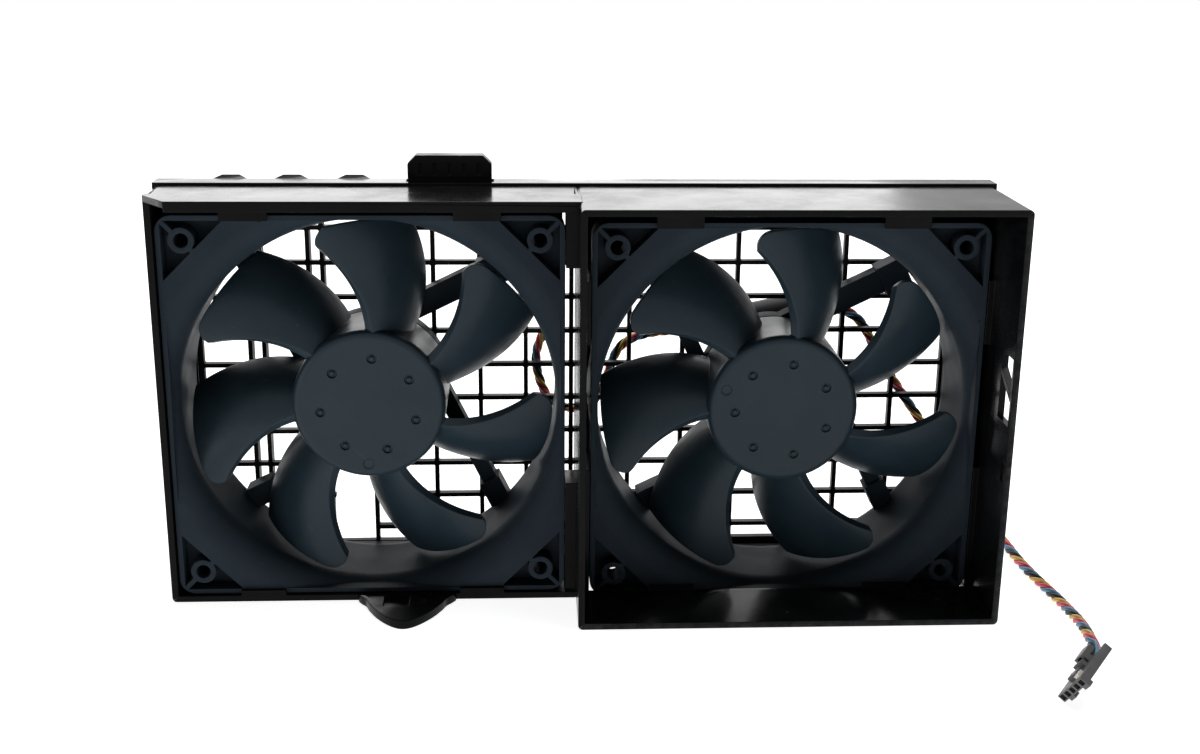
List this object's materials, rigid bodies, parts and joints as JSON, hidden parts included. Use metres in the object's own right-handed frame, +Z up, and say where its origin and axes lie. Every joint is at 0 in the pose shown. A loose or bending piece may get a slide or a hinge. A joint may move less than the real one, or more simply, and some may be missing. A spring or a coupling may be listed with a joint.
{
  "type": "dual fan assembly",
  "caption": "Side-by-side axial fans in a black moulded carrier with an intake duct, locating tongue, release latch, rear grille and a plug-in lead.",
  "frame": {"origin": "middle of the footprint of the carrier, on the surface it stands on", "axes": "+X to the right seen from the intake side, +Y from the intake side to the grille, +Z up"},
  "size_m": [0.2796, 0.1341, 0.1372],
  "materials": {
    "housing_plastic": "glossy black moulded plastic",
    "grille_plastic": "black moulded plastic",
    "latch_plastic": "black moulded plastic",
    "fan_plastic": "satin charcoal moulded plastic",
    "impeller_plastic": "satin charcoal moulded plastic",
    "sleeve_plastic": "black shrink sleeve",
    "lead_sheath": "insulated wires twisted together",
    "connector_plastic": "grey moulded plastic",
    "lock_plastic": "cream moulded plastic",
    "terminal_metal": "stamped terminals",
    "pad_rubber": "black rubber",
    "bearing_steel": "ground steel",
    "core_steel": "laminated and pressed steel",
    "tube_brass": "turned brass",
    "coil_copper": "enamelled copper winding",
    "magnet_compound": "bonded magnet",
    "board_laminate": "green circuit board"
  },
  "bodies": {
    "carrier": {"front_housing": "housing_plastic", "rear_cover": "housing_plastic", "rear_grille": "grille_plastic", "lead_clip": "grille_plastic", "lead_sleeve": "sleeve_plastic", "left_fan_lead": "lead_sheath", "right_fan_lead": "lead_sheath", "trunk_lead": "lead_sheath", "connector_housing": "connector_plastic", "connector_terminals": "terminal_metal", "connector_lock": "lock_plastic", "left_fan_frame": "fan_plastic", "left_front_bearing": "bearing_steel", "left_rear_bearing": "bearing_steel", "left_bearing_tube": "tube_brass", "left_preload_washer": "bearing_steel", "left_stator_core": "core_steel", "left_stator_coils": "coil_copper", "left_circuit_board": "board_laminate", "left_corner_pads": "pad_rubber", "right_fan_frame": "fan_plastic", "right_front_bearing": "bearing_steel", "right_rear_bearing": "bearing_steel", "right_bearing_tube": "tube_brass", "right_preload_washer": "bearing_steel", "right_stator_core": "core_steel", "right_stator_coils": "coil_copper", "right_circuit_board": "board_laminate", "right_corner_pads": "pad_rubber"},
    "left_rotor": {"left_impeller": "impeller_plastic", "left_rotor_yoke": "core_steel", "left_magnet_ring": "magnet_compound", "left_rotor_shaft": "bearing_steel", "left_retaining_clip": "bearing_steel"},
    "right_rotor": {"right_impeller": "impeller_plastic", "right_rotor_yoke": "core_steel", "right_magnet_ring": "magnet_compound", "right_rotor_shaft": "bearing_steel", "right_retaining_clip": "bearing_steel"},
    "latch": {"release_latch": "latch_plastic"}
  },
  "joints": [
    {"name": "left_impeller_spin", "type": "hinge", "parent": "carrier", "child": "left_rotor", "pos_m": [-0.0648, 0, 0.0622], "axis": [0, -1, 0], "continuous": true},
    {"name": "right_impeller_spin", "type": "hinge", "parent": "carrier", "child": "right_rotor", "pos_m": [0.0632, 0, 0.06], "axis": [0, -1, 0], "continuous": true},
    {"name": "latch_press", "type": "hinge", "parent": "carrier", "child": "latch", "pos_m": [-0.0394, 0.00555, 0.1263], "axis": [-1, 0, 0], "range_deg": [0, 10], "stiffness_Nm_per_rad": 0.4, "springref_deg": -2.86}
  ]
}
